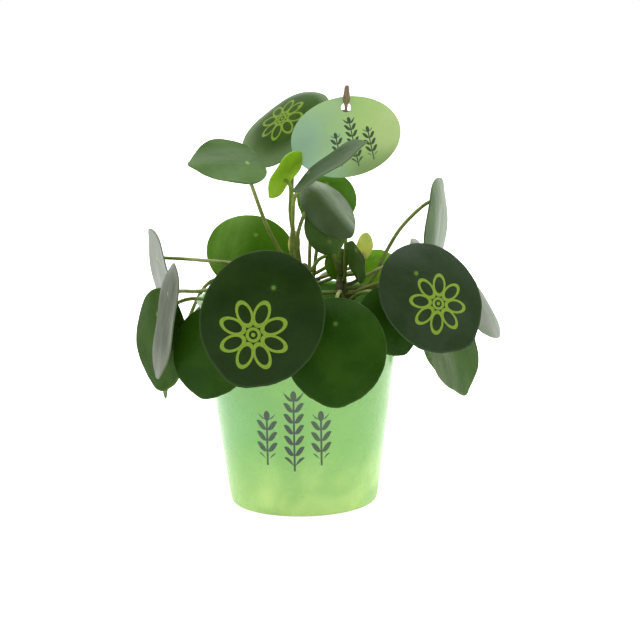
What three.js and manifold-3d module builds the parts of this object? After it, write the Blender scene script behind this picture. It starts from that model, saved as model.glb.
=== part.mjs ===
// A potted pilea: a money plant with round, shield-shaped leaves on long stalks, growing in a
// tapered glazed pot, with an oval care card held up by a wooden pick.
// Millimetres, +Z up. The origin is the middle of the pot's base, the plant's front faces -Y
// and +X is to its right.

import * as THREE from 'three';
import { mergeVertices } from 'three/addons/utils/BufferGeometryUtils.js';
import Module from 'manifold-3d';

const wasm = await Module();
wasm.setup();

// ---------------------------------------------------------------- driving dimensions

const CLEARANCE = 0.3; // between pieces that touch on the real plant

const POT_HEIGHT = 136;
const POT_BASE_RADIUS = 48;
const POT_RIM_RADIUS = 66;
const POT_WALL = 4;
const POT_FLOOR = 5;
const POT_FOOT_ROUNDING = 3; // inside and outside the foot
const POT_LIP_RADIUS = 2.6; // the rolled lip is a bead of this radius around the rim
const POT_SIDES = 48;

const SOIL_TOP = 122;
const SOIL_ROUGHNESS = 1.6;
const SOIL_EDGE_DROP = 2; // how much lower the soil lies where it meets the pot
const SOIL_RINGS = 5;
const SOIL_SIDES = 48;

const STEM_SUNK = 22; // how far a stem goes down into the soil
const STEM_SCARS = 8; // ring scars of the leaves that it has dropped, a groove at every second one
const STEM_SCAR_DEPTH = 0.25;
const STEM_TIP_ROUNDING = 0.8;
const STEM_SIDES = 10;

const BLADE_THICKNESS = 0.9;
const BLADE_SIDES = 24;
const BLADE_RINGS = [0.5, 1];
const STALK_RADIUS = 1.15;
const STALK_SIDES = 6;
const STALK_STEPS = 9;

const CARD_WIDTH = 70;
const CARD_HEIGHT = 51.5;
const CARD_THICKNESS = 0.8;
const CARD_HOLE_DIAMETER = 6.2;
const CARD_HOLE_DROP = 7.4; // from the card's top edge to the hole's middle
const CARD_HOLE_OFFSET = 4; // how far the hole is to the right of the card's middle
const CARD_HOLE_AT = [31, -12, 257];
const CARD_LEAN = 16; // degrees that its top leans back
const CARD_SWING = 11; // degrees that its right end is swung up
const CARD_SIDES = 40;
const CARD_HOLE_SIDES = 16;

const PICK_FOOT = [23, 40, 100];
const PICK_POINT_LENGTH = 4;
const PICK_TAPER = [20, 5]; // how far below the hole its shaft starts and ends to thin
const PICK_RADIUS = 1.3;
const PICK_NECK_RADIUS = 0.95;
const PICK_HEAD_HALF_WIDTH = 2.4;
const PICK_HEAD_FLATNESS = 0.45; // its thickness as a share of its width
const PICK_HEAD_LENGTH = 14.8;
const PICK_HEAD_WIDEST = 0.4; // as a share of the head's length
const PICK_HEAD_TOP = 0.45; // the top's width as a share of the widest
const PICK_SIDES = 8;

// The three stems that the leaf stalks grow from: where each stands, how high it reaches and
// how thick it is at the soil and at its tip.
const STEMS = {
  stem_main: { at: [27, 0], top: 166, base_radius: 4.4, tip_radius: 2.2 },
  stem_left: { at: [3, 6], top: 156, base_radius: 3.8, tip_radius: 2.2 },
  stem_back: { at: [4, 34], top: 150, base_radius: 3.8, tip_radius: 2.4 },
};

// The leaves. Each grows from a stem at a height, its stalk runs through the points of via and
// meets the blade at the point called at. The blade's upper face looks turn degrees to the right
// of the front and tilt degrees above the horizon. Its tip hangs straight down when roll is 0,
// and swings to the right as roll grows.
const LEAVES = {
  // the large hanging leaves in front
  leaf_front_large: {
    stem: 'stem_main', height: 138, via: [[10, -30, 142], [-8, -68, 150]],
    at: [-16, -94, 155], turn: -6, tilt: 7, roll: -23, length: 86, width: 75, dome: 6,
  },
  leaf_front_right: {
    stem: 'stem_main', height: 132, via: [[25, -30, 142], [22, -66, 141]],
    at: [21, -80, 130], turn: -8, tilt: 18, roll: 0, length: 68, width: 62, dome: 5,
  },
  leaf_right_large: {
    stem: 'stem_main', height: 136, via: [[42, -14, 142], [60, -40, 152]],
    at: [71, -66, 158], turn: 19, tilt: 21, roll: 34, length: 75, width: 64, dome: 6,
  },
  leaf_right_low: {
    stem: 'stem_main', height: 130, via: [[38, -30, 141], [46, -44, 143]],
    at: [51, -56, 137], turn: 23, tilt: 14, roll: 24, length: 46, width: 38, dome: 3,
  },
  leaf_right_folded: {
    stem: 'stem_main', height: 140, via: [[62, -14, 142], [80, -22, 132]],
    at: [92, -34, 122.5], turn: 46, tilt: 18, roll: 7, length: 63, width: 48, dome: 5, fold: -3,
    droop: 0, point: 0.12,
  },
  leaf_right_pale: {
    stem: 'stem_main', height: 134, via: [[44, -3, 139], [76, -5, 147]],
    at: [114, -12, 137], turn: 64, tilt: 28, roll: 24, length: 46, width: 35, dome: 4, fold: 2,
  },
  leaf_right_upright: {
    stem: 'stem_main', height: 136, via: [[47, 8, 144], [56, 10, 161], [68, 12, 179]],
    at: [93, 15, 191], turn: 71, tilt: -3, roll: 2, length: 72, width: 54, dome: 3,
  },
  leaf_right_far: {
    stem: 'stem_back', height: 140, via: [[30, 42, 146], [58, 54, 152]],
    at: [81, 60, 157], turn: 70, tilt: 16, roll: 8, length: 31, width: 30, dome: 3,
  },
  leaf_low_left: {
    stem: 'stem_left', height: 130, via: [[-20, -24, 140], [-42, -48, 140], [-50, -57, 134]],
    at: [-54, -60, 125], turn: -24, tilt: 14, roll: -8, length: 59, width: 54, dome: 4,
  },
  // the leaves that stand out to the left
  leaf_left_broad: {
    stem: 'stem_left', height: 134, via: [[-36, -20, 140], [-55, -31, 139], [-70, -28, 139]],
    at: [-93, 0, 125], turn: -55, tilt: 4, roll: 0, length: 68, width: 62, dome: 3,
  },
  leaf_left_silver: {
    stem: 'stem_left', height: 142, via: [[-40, -14, 145], [-64, -29, 144]],
    at: [-83, -38, 144], turn: -77, tilt: 11, roll: -12, length: 77, width: 65, dome: 1.4, point: 0.03,
  },
  leaf_left_high: {
    stem: 'stem_left', height: 148, via: [[-40, 14, 155], [-64, 24, 156.5]],
    at: [-96, 52, 155], arrive: -15, turn: -73, tilt: -11, roll: -10, length: 82, width: 56, dome: 0.4,
  },
  leaf_left_small: {
    stem: 'stem_back', height: 131, via: [[-28, 44, 138], [-60, 40, 140]],
    at: [-88.5, 25, 99], turn: -70, tilt: 14, roll: 4, length: 45, width: 22, dome: 3,
    taper: 0.4, point: 0.1,
  },
  leaf_backlit: {
    stem: 'stem_back', height: 142, via: [[-9, 42, 150], [-22, 50, 163]],
    at: [-29, 38, 171], turn: 0, tilt: 16, roll: -16, length: 53, width: 60, dome: 3,
  },
  // the high leaves
  leaf_high_left: {
    stem: 'stem_left', height: 146, via: [[-18, -8, 176], [-29, -20, 208]],
    at: [-32, -25, 224], turn: 43, tilt: 47, roll: -100, length: 54.5, width: 40, dome: 0.6, fold: -2,
    point: 0.1, droop: 8, taper: 0.42,
  },
  leaf_high_dome: {
    stem: 'stem_left', height: 154, via: [[-4, 8, 180], [-4, 18, 210], [-1, 28, 242]],
    at: [2, 24, 256], turn: -44, tilt: 45, roll: -36, length: 72, width: 59, dome: 7,
  },
  leaf_young_bright: {
    stem: 'stem_left', height: 152, via: [[-1.7, -3, 164], [-5.5, -16, 190]],
    at: [-9, -31.5, 214], turn: -120, tilt: 27, roll: 131, length: 34, width: 35, dome: 0.4, fold: 2,
    droop: 4,
  },
  leaf_high_front: {
    stem: 'stem_left', height: 140, via: [[-5, -8, 160], [-4, -18, 186], [-2, -34, 204]],
    at: [6.5, -47.5, 218.8], approach: 2, turn: -81, tilt: 52, roll: 151, length: 56, width: 48, dome: 2.8,
    droop: 3.6, fold: -1.3, point: 0.1,
  },
  leaf_high_sheen: {
    stem: 'stem_left', height: 148, via: [[0, -3, 158], [-1, -12, 176], [4, -18, 192]],
    at: [10, -21, 203], turn: -11, tilt: 23, roll: 44, length: 47, width: 26, dome: 6,
  },
  leaf_high_back: {
    stem: 'stem_main', height: 146, via: [[29, -6, 156], [29, -3, 178]],
    at: [18, -6, 208], turn: 10, tilt: 20, roll: 0, length: 37, width: 39, dome: 3,
  },
  leaf_high_small: {
    stem: 'stem_main', height: 150, via: [[22, -14, 162]],
    at: [19, -21, 173], turn: 0, tilt: 10, roll: -158, length: 33, width: 25, dome: 3,
  },
  // small leaves close to the stems
  leaf_bud_right: {
    stem: 'stem_main', height: 148, via: [[42, 10, 150]],
    at: [42, 12, 161], turn: 10, tilt: 0, roll: 170, length: 18, width: 11, dome: 1,
  },
  leaf_behind_right: {
    stem: 'stem_back', height: 144, via: [[28, 31, 154]],
    at: [50, 22, 155], turn: 0, tilt: 15, roll: 4, length: 28, width: 30, dome: 2,
  },
  leaf_inner_right: {
    stem: 'stem_main', height: 156, via: [],
    at: [36, -6, 165], turn: 64, tilt: 20, roll: 0, length: 28, width: 22, dome: 2,
  },
  leaf_inner_left: {
    stem: 'stem_left', height: 150, via: [[13, 9, 158]],
    at: [24.5, 9, 160], turn: 20, tilt: 0, roll: 0, length: 22, width: 16, dome: 2,
  },
  leaf_bud_left: {
    stem: 'stem_left', height: 150, via: [[-4, 13, 154]],
    at: [-4, 14, 164], turn: -10, tilt: 0, roll: 175, length: 16, width: 8, dome: 1,
  },
  // the leaves behind
  leaf_rear_far_right: {
    stem: 'stem_main', height: 142, via: [[44, 2, 148], [58, 7, 153], [76, 24, 146]],
    at: [90, 32, 116], turn: 110, tilt: 8, roll: 0, length: 54, width: 46,
  },
  leaf_rear_right: {
    stem: 'stem_back', height: 136, via: [[30, 50, 142], [50, 66, 142]],
    at: [68, 79, 128], turn: 140, tilt: 10, roll: 0, length: 50, width: 46,
  },
  leaf_rear_middle_right: {
    stem: 'stem_back', height: 132, via: [[16, 56, 141], [26, 72, 138]],
    at: [34, 84, 114], turn: 165, tilt: 8, roll: -6, length: 60, width: 54, dome: 4,
  },
  leaf_rear_middle: {
    stem: 'stem_back', height: 138, via: [[2, 62, 143], [0, 84, 138]],
    at: [-2, 98, 118], turn: 180, tilt: 12, roll: 8, length: 62, width: 54, dome: 4,
  },
  leaf_rear_left: {
    stem: 'stem_back', height: 135, via: [[-20, 48, 140], [-46, 54, 139]],
    at: [-60, 72, 112], turn: -140, tilt: 8, roll: 4, length: 58, width: 54, dome: 4,
  },
  leaf_rear_high_left: {
    stem: 'stem_back', height: 144, via: [[-12, 56, 155], [-26, 62, 161]],
    at: [-36, 66, 162], turn: -160, tilt: 12, roll: -6, length: 50, width: 48,
  },
  leaf_rear_high: {
    stem: 'stem_back', height: 146, via: [[8, 42, 172]],
    at: [18, 56, 196], turn: 172, tilt: 24, roll: 0, length: 38, width: 35,
  },
  leaf_rear_top: {
    stem: 'stem_back', height: 139, via: [[11, 28, 160], [15, 32, 184], [24, 36, 218]],
    at: [34, 44, 246], turn: 150, tilt: 34, roll: 0, length: 42, width: 38,
  },
};

const LEAF_DEFAULTS = {
  dome: 3, droop: 2, fold: 0, point: 0.06, taper: 0, ripple: 0.8, ripples: 5, arrive: 25,
  approach: 6,
};

const YOUNG_LEAVES = [
  'leaf_backlit', 'leaf_young_bright', 'leaf_high_back', 'leaf_bud_left', 'leaf_bud_right',
  'leaf_behind_right',
];

// Finishes: colour, roughness and metalness.
const GLAZE = { color: 0xa0d47d, roughness: 0.2, metalness: 0 };
const SOIL = { color: 0x2b2018, roughness: 0.95, metalness: 0 };
const BARK = { color: 0x5b4a2e, roughness: 0.8, metalness: 0 };
const GROWN_LEAF = { color: 0x2c4a1c, roughness: 0.4, metalness: 0 };
const YOUNG_LEAF = { color: 0x6f9a2e, roughness: 0.4, metalness: 0 };
const CARD = { color: 0xa2c492, roughness: 0.5, metalness: 0 };
const WOOD = { color: 0x85735a, roughness: 0.7, metalness: 0 };

// ---------------------------------------------------------------- shared tools

function vector(point) {
  return new THREE.Vector3(...point);
}

function radians(degrees) {
  return THREE.MathUtils.degToRad(degrees);
}

// A closed geometry as a solid that can be joined or cut.
function solidFrom(geometry) {
  const bare = geometry.clone();
  bare.deleteAttribute('normal');
  bare.deleteAttribute('uv');
  const merged = mergeVertices(bare, 1e-4);
  return new wasm.Manifold(new wasm.Mesh({
    numProp: 3,
    vertProperties: merged.attributes.position.array,
    triVerts: new Uint32Array(merged.index.array),
  }));
}

function ellipse(x, y, width, height, pieces) {
  return new THREE.EllipseCurve(x, y, width / 2, height / 2).getPoints(pieces).slice(0, -1);
}

function geometryFrom(solid) {
  const mesh = solid.getMesh();
  const geometry = new THREE.BufferGeometry();
  geometry.setAttribute('position', new THREE.BufferAttribute(mesh.vertProperties, 3));
  geometry.setIndex(new THREE.BufferAttribute(mesh.triVerts, 1));
  geometry.computeVertexNormals();
  return geometry;
}

// A closed tube of a round section, with few sides, along a curve.
function tube(curve, radius, sides, steps) {
  const section = new THREE.Shape(ellipse(0, 0, radius * 2, radius * 2, sides));
  return new THREE.ExtrudeGeometry(section, { steps, extrudePath: curve, bevelEnabled: false });
}

// LatheGeometry turns its profile about Y, and here everything stands along Z.
function turned(profile, sides) {
  return new THREE.LatheGeometry(profile, sides).rotateX(Math.PI / 2);
}

const plant = new THREE.Group();

function place(name, geometry, finish) {
  const mesh = new THREE.Mesh(geometry, new THREE.MeshStandardMaterial(finish));
  mesh.name = name;
  plant.add(mesh);
  return mesh;
}

// ---------------------------------------------------------------- the pot

const WALL_SLOPE = (POT_RIM_RADIUS - POT_BASE_RADIUS) / POT_HEIGHT;

// The pot's inner radius at a height.
function boreRadius(z) {
  return POT_BASE_RADIUS + WALL_SLOPE * z - POT_WALL;
}

function arc(centre, radius, from, to, pieces) {
  const curve = new THREE.EllipseCurve(centre[0], centre[1], radius, radius, radians(from), radians(to));
  return curve.getPoints(pieces);
}

// A tapered wall with a rounded foot and a rolled lip, drawn from the floor's underside outwards.
function potGeometry() {
  const footCentre = [POT_BASE_RADIUS - POT_FOOT_ROUNDING, POT_FOOT_ROUNDING];
  const foot = arc(footCentre, POT_FOOT_ROUNDING, -90, 0, 3);
  const lipCentre = [POT_RIM_RADIUS - POT_LIP_RADIUS / 2, POT_HEIGHT - POT_LIP_RADIUS];
  const lip = arc(lipCentre, POT_LIP_RADIUS, -60, 200, 7);
  const corner = POT_FLOOR + POT_FOOT_ROUNDING;
  const inside = [
    new THREE.Vector2(boreRadius(corner), corner),
    new THREE.Vector2(boreRadius(POT_FLOOR) - POT_FOOT_ROUNDING, POT_FLOOR),
    new THREE.Vector2(0, POT_FLOOR),
  ];
  return turned([new THREE.Vector2(0, 0), ...foot, ...lip, ...inside], POT_SIDES);
}

// ---------------------------------------------------------------- the soil

// How far the soil's surface stands above its mean level, in clods a few millimetres across.
function soilBump(x, y) {
  const coarse = Math.sin(x / 7.1 + 1.3) * Math.cos(y / 6.3 - 0.4);
  const fine = Math.sin(x / 3.1 - y / 4.3) * 0.5;
  return SOIL_ROUGHNESS * (coarse + fine);
}

// A filling that follows the pot's inside, with a surface of rings that are moved up and down.
function soilSolid() {
  const low = POT_FLOOR + CLEARANCE;
  const corner = low + POT_FOOT_ROUNDING;
  const shoulder = SOIL_TOP - SOIL_EDGE_DROP;
  const edge = boreRadius(shoulder) - CLEARANCE;
  const inner = edge - SOIL_EDGE_DROP;
  const profile = [
    new THREE.Vector2(0, low),
    new THREE.Vector2(boreRadius(low) - POT_FOOT_ROUNDING - CLEARANCE, low),
    new THREE.Vector2(boreRadius(corner) - CLEARANCE, corner),
    new THREE.Vector2(edge, shoulder),
  ];
  for (let ring = SOIL_RINGS; ring >= 0; ring -= 1) {
    profile.push(new THREE.Vector2(inner * ring / SOIL_RINGS, SOIL_TOP));
  }
  const geometry = turned(profile, SOIL_SIDES);
  const position = geometry.attributes.position;
  for (let i = 0; i < position.count; i += 1) {
    const x = position.getX(i);
    const y = position.getY(i);
    if (position.getZ(i) > shoulder && Math.hypot(x, y) < inner - 1) {
      position.setZ(i, SOIL_TOP + soilBump(x, y));
    }
  }
  return solidFrom(geometry);
}

// ---------------------------------------------------------------- the stems

function stemRadius(stem, z) {
  const share = THREE.MathUtils.clamp((z - SOIL_TOP) / (stem.top - SOIL_TOP), 0, 1);
  return THREE.MathUtils.lerp(stem.base_radius, stem.tip_radius, share);
}

// A short woody stem with the ring scars of its fallen leaves and a rounded tip.
function stemGeometry(stem) {
  const low = SOIL_TOP - STEM_SUNK;
  const profile = [new THREE.Vector2(0, low), new THREE.Vector2(stem.base_radius * 0.7, low)];
  for (let ring = 1; ring <= STEM_SCARS; ring += 1) {
    const z = low + (stem.top - low) * ring / (STEM_SCARS + 1);
    const groove = ring % 2 ? 0 : STEM_SCAR_DEPTH;
    profile.push(new THREE.Vector2(stemRadius(stem, z) - groove, z));
  }
  profile.push(new THREE.Vector2(stem.tip_radius * 0.75, stem.top - STEM_TIP_ROUNDING));
  profile.push(new THREE.Vector2(0, stem.top));
  return turned(profile, STEM_SIDES).translate(stem.at[0], stem.at[1], 0);
}

// A plain hole down from above the soil that leaves a clearance around the stem.
function holeFor(stem) {
  const deep = STEM_SUNK + CLEARANCE;
  const height = deep * 2;
  const radius = (stem.base_radius + CLEARANCE) / Math.cos(Math.PI / STEM_SIDES);
  const hole = new THREE.CylinderGeometry(radius, radius, height, STEM_SIDES);
  hole.rotateX(Math.PI / 2);
  hole.translate(stem.at[0], stem.at[1], SOIL_TOP - deep + height / 2);
  return solidFrom(hole);
}

// ---------------------------------------------------------------- the leaves

// The blade's own directions: out of its upper face, towards its tip and across it.
function bladeFrame(leaf) {
  const turn = radians(leaf.turn);
  const tilt = radians(leaf.tilt);
  const roll = radians(leaf.roll);
  const out = new THREE.Vector3(
    Math.sin(turn) * Math.cos(tilt), -Math.cos(turn) * Math.cos(tilt), Math.sin(tilt));
  const right = new THREE.Vector3(0, 0, 1).cross(out).normalize();
  const down = right.clone().cross(out);
  const tip = down.multiplyScalar(Math.cos(roll)).addScaledVector(right, Math.sin(roll));
  const across = out.clone().cross(tip);
  return { out, tip, across };
}

// The blade's outline as seen from above, as distances towards the tip and across, at an angle
// that is 0 at the tip. It is a broad oval with a small point, drawn in towards the tip by its
// taper, and the stalk meets it about a quarter of its length from the edge behind.
function outline(leaf, angle) {
  const point = 1 + leaf.point * Math.exp(-((angle / 0.3) ** 2));
  return [
    leaf.length * (0.235 + 0.485 * Math.cos(angle) * point),
    leaf.width * 0.5 * Math.sin(angle) * (1 - leaf.taper * Math.exp(-((angle / 0.9) ** 2))),
  ];
}

// How far the blade's middle surface stands below the plane at its stalk: a dome, a droop of
// the tip, a fold along the midrib and a wavy edge.
function sag(leaf, towardsTip, across, angle, share) {
  const dome = leaf.dome * share ** 2;
  const droop = leaf.droop * (Math.max(towardsTip, 0) / leaf.length) ** 2;
  const fold = leaf.fold * (Math.abs(across) / (leaf.width / 2)) ** 1.5;
  const ripple = leaf.ripple * share ** 3 * Math.sin(leaf.ripples * angle + leaf.length);
  return dome + droop + fold + ripple;
}

// A thin closed blade: rings of points around the stalk's end, on both faces alike.
function bladeGeometry(leaf) {
  const frame = bladeFrame(leaf);
  const points = [];
  const triangles = [];
  const perFace = 1 + BLADE_RINGS.length * BLADE_SIDES;
  for (const side of [0.5, -0.5]) {
    const add = (towardsTip, across, drop) => {
      const point = vector(leaf.at);
      point.addScaledVector(frame.tip, towardsTip);
      point.addScaledVector(frame.across, across);
      point.addScaledVector(frame.out, side * BLADE_THICKNESS - drop);
      points.push(point.x, point.y, point.z);
    };
    add(0, 0, 0);
    for (const share of BLADE_RINGS) {
      for (let step = 0; step < BLADE_SIDES; step += 1) {
        const angle = (step <= BLADE_SIDES / 2 ? step : step - BLADE_SIDES) * 2 * Math.PI / BLADE_SIDES;
        const [u, v] = outline(leaf, angle).map((distance) => distance * share);
        add(u, v, sag(leaf, u, v, angle, share));
      }
    }
  }
  const onRing = (ring, step) => 1 + ring * BLADE_SIDES + (step % BLADE_SIDES);
  const face = (a, b, c) => {
    triangles.push(a, b, c, perFace + a, perFace + c, perFace + b);
  };
  for (let step = 0; step < BLADE_SIDES; step += 1) {
    face(0, onRing(0, step), onRing(0, step + 1));
    for (let ring = 1; ring < BLADE_RINGS.length; ring += 1) {
      face(onRing(ring - 1, step), onRing(ring, step), onRing(ring, step + 1));
      face(onRing(ring - 1, step), onRing(ring, step + 1), onRing(ring - 1, step + 1));
    }
    const rim = BLADE_RINGS.length - 1;
    const here = onRing(rim, step);
    const next = onRing(rim, step + 1);
    triangles.push(here, perFace + here, next, next, perFace + here, perFace + next);
  }
  const geometry = new THREE.BufferGeometry();
  geometry.setAttribute('position', new THREE.Float32BufferAttribute(points, 3));
  geometry.setIndex(triangles);
  return geometry;
}

// The stalk leaves the stem's side just clear of it, runs through the points of via, and comes
// up to the blade from behind and a little from above, by the angle called arrive.
function stalkCurve(leaf) {
  const stem = STEMS[leaf.stem];
  const frame = bladeFrame(leaf);
  const arrive = radians(leaf.arrive);
  const behind = frame.out.clone().multiplyScalar(-Math.cos(arrive));
  behind.addScaledVector(frame.tip, -Math.sin(arrive));
  const end = vector(leaf.at).addScaledVector(frame.out, -STALK_RADIUS * Math.sin(arrive));
  const approach = end.clone().addScaledVector(behind, Math.min(leaf.approach, leaf.length * 0.12));
  const next = leaf.via.length ? vector(leaf.via[0]) : approach;
  const root = new THREE.Vector3(stem.at[0], stem.at[1], leaf.height);
  const heading = next.clone().sub(root).normalize();
  const side = new THREE.Vector3(heading.x, heading.y, 0).normalize();
  const reach = stemRadius(stem, leaf.height) + CLEARANCE + STALK_RADIUS * Math.abs(heading.z);
  const start = root.addScaledVector(side, reach);
  return new THREE.CatmullRomCurve3([start, ...leaf.via.map(vector), approach, end], false, 'centripetal');
}

function leafGeometry(leaf) {
  const blade = solidFrom(bladeGeometry(leaf));
  const stalk = solidFrom(tube(stalkCurve(leaf), STALK_RADIUS, STALK_SIDES, STALK_STEPS));
  return geometryFrom(blade.add(stalk));
}

// ---------------------------------------------------------------- the card and its pick

// An oval card with a punched hole near its top, drawn with the hole's middle at its origin.
function cardGeometry() {
  const drop = CARD_HEIGHT / 2 - CARD_HOLE_DROP;
  const shape = new THREE.Shape(ellipse(-CARD_HOLE_OFFSET, -drop, CARD_WIDTH, CARD_HEIGHT, CARD_SIDES));
  shape.holes.push(new THREE.Path(ellipse(0, 0, CARD_HOLE_DIAMETER, CARD_HOLE_DIAMETER, CARD_HOLE_SIDES)));
  const geometry = new THREE.ExtrudeGeometry(shape, { depth: CARD_THICKNESS, bevelEnabled: false });
  geometry.translate(0, 0, -CARD_THICKNESS / 2);
  geometry.rotateZ(radians(CARD_SWING));
  geometry.rotateX(radians(90 - CARD_LEAN));
  return geometry;
}

// A slim round wooden pick with a flat, spindle-shaped head above its neck.
function pickGeometry() {
  const neck = vector(CARD_HOLE_AT).distanceTo(vector(PICK_FOOT));
  const profile = [
    new THREE.Vector2(0, -PICK_POINT_LENGTH),
    new THREE.Vector2(PICK_RADIUS, 0),
    new THREE.Vector2(PICK_RADIUS, neck - PICK_TAPER[0]),
    new THREE.Vector2(PICK_NECK_RADIUS, neck - PICK_TAPER[1]),
    new THREE.Vector2(PICK_NECK_RADIUS, neck),
    new THREE.Vector2(PICK_HEAD_HALF_WIDTH, neck + PICK_HEAD_LENGTH * PICK_HEAD_WIDEST),
    new THREE.Vector2(PICK_HEAD_HALF_WIDTH * PICK_HEAD_TOP, neck + PICK_HEAD_LENGTH),
    new THREE.Vector2(0, neck + PICK_HEAD_LENGTH),
  ];
  const geometry = turned(profile, PICK_SIDES);
  const position = geometry.attributes.position;
  for (let i = 0; i < position.count; i += 1) {
    if (position.getZ(i) > neck + 1) {
      position.setY(i, position.getY(i) * PICK_HEAD_FLATNESS);
    }
  }
  return geometry;
}

// The hole that the pick's foot makes in the soil, drawn along the pick.
function pickHoleGeometry() {
  const radius = PICK_RADIUS / Math.cos(Math.PI / PICK_SIDES) + CLEARANCE;
  const hole = new THREE.CylinderGeometry(radius, radius, SOIL_TOP, PICK_SIDES);
  hole.rotateX(Math.PI / 2);
  hole.translate(0, 0, SOIL_TOP / 2 - PICK_POINT_LENGTH - CLEARANCE);
  return hole;
}

// ---------------------------------------------------------------- the whole plant

place('pot', potGeometry(), GLAZE);

let soil = soilSolid();
for (const stem of Object.values(STEMS)) {
  soil = soil.subtract(holeFor(stem));
}

for (const [name, stem] of Object.entries(STEMS)) {
  place(name, stemGeometry(stem), BARK);
}

for (const [name, leaf] of Object.entries(LEAVES)) {
  const finish = YOUNG_LEAVES.includes(name) ? YOUNG_LEAF : GROWN_LEAF;
  place(name, leafGeometry({ ...LEAF_DEFAULTS, ...leaf }), finish);
}

const card = place('card', cardGeometry(), CARD);
card.position.set(...CARD_HOLE_AT);

const pick = place('pick', pickGeometry(), WOOD);
const upwards = new THREE.Vector3(0, 0, 1);
const alongPick = vector(CARD_HOLE_AT).sub(vector(PICK_FOOT)).normalize();
pick.position.set(...PICK_FOOT);
pick.quaternion.setFromUnitVectors(upwards, alongPick);
pick.updateMatrix();

soil = soil.subtract(solidFrom(pickHoleGeometry().applyMatrix4(pick.matrix)));
place('soil', geometryFrom(soil), SOIL);

export default plant;
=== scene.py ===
# A potted pilea: a money plant with round, shield-shaped leaves on long stalks, in a tapered pot
# with a pale green glaze, and an oval care card held up by a wooden pick.
# Metres, +Z up. The origin is the middle of the pot's base and the plant's front faces -Y.
import math
import random
import bmesh
import bpy
from mathutils import Matrix, Vector


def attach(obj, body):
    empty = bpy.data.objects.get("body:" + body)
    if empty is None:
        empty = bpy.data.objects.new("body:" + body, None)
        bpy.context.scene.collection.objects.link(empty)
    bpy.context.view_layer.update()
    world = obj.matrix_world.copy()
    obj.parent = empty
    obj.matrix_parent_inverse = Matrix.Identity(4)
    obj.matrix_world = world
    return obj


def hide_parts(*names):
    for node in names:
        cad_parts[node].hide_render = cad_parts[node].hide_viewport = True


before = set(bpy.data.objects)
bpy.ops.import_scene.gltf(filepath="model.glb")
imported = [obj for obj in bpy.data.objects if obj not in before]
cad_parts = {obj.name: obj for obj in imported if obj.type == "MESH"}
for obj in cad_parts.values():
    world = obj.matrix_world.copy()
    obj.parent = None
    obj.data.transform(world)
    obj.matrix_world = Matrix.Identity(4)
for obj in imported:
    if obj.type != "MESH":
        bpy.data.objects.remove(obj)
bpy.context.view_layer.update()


# ------------------------------------------------------------------ camera, floor and light
# The camera stands 1.2 m in front of the pot, a little above the leaves, and looks down at the
# plant. The studio is a light tent: bright behind and above, dim in front, so that light comes
# through the leaves and the ones that hang in front stay dark.

MM = 0.001
CAMERA_AT = (0, -1.2, 0.321)
CAMERA_LENS = 105.19  # on a sensor 36 mm wide
LOOK_DOWN = math.radians(9.55)
LOOK_RIGHT = math.radians(0.59)
CAMERA_ROLL = math.radians(1.0)
FLOOR_HALF_WIDTH = 6
SOFT_BOX_AIM = Vector((0, 0, 0.12))

ahead = Vector((math.sin(LOOK_RIGHT) * math.cos(LOOK_DOWN),
                math.cos(LOOK_RIGHT) * math.cos(LOOK_DOWN), -math.sin(LOOK_DOWN)))
to_right = ahead.cross(Vector((0, 0, 1))).normalized()
roll = Matrix.Rotation(CAMERA_ROLL, 3, ahead)
to_right, upward = roll @ to_right, roll @ to_right.cross(ahead)
camera_data = bpy.data.cameras.new("camera")
camera_data.sensor_width = 36
camera_data.lens = CAMERA_LENS
camera_data.clip_start = 0.05
camera = bpy.data.objects.new("camera", camera_data)
camera.matrix_world = (Matrix.Translation(CAMERA_AT)
                       @ Matrix((to_right, upward, -ahead)).transposed().to_4x4())
bpy.context.collection.objects.link(camera)
bpy.context.scene.camera = camera
bpy.context.scene.view_settings.view_transform = "Standard"


def place_node(tree, kind, sockets, **settings):
    """Adds a shader node, sets or links its sockets and gives back its outputs."""
    node = tree.nodes.new("ShaderNode" + kind)
    for name, value in settings.items():
        setattr(node, name, value)
    for socket, value in sockets.items():
        if isinstance(value, bpy.types.NodeSocket):
            tree.links.new(value, node.inputs[socket])
        else:
            node.inputs[socket].default_value = value
    return node.outputs


def add(tree, kind, sockets=None, out=0, **settings):
    return place_node(tree, kind, sockets or {}, **settings)[out]


def calc(tree, operation, *values):
    return add(tree, "Math", dict(enumerate(values)), operation=operation)


def plus(tree, first, second):
    return calc(tree, "ADD", first, second)


def times(tree, first, second):
    return calc(tree, "MULTIPLY", first, second)


def axis(tree, vector, which=0):
    return add(tree, "SeparateXYZ", {0: vector}, out=which)


def ease(tree, value, start, end, low=0.0, high=1.0):
    """A value that goes smoothly from low to high while the input goes from start to end."""
    return add(tree, "MapRange", {"Value": value, "From Min": start, "From Max": end,
                                  "To Min": low, "To Max": high}, interpolation_type="SMOOTHSTEP")


def blend(tree, share, first, second):
    """A mix of two colours, each a socket or its red, green and blue."""
    first, second = (c if isinstance(c, bpy.types.NodeSocket) else (*c, 1) for c in (first, second))
    return add(tree, "Mix", {0: share, 6: first, 7: second}, out=2, data_type="RGBA")


def surface(tree, shader):
    """Makes a shader the surface of a world or a material."""
    kind = "World" if any(n.type == "BACKGROUND" for n in tree.nodes) else "Material"
    end = tree.nodes.new("ShaderNodeOutput" + kind)
    tree.links.new(shader, end.inputs["Surface"])


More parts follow.
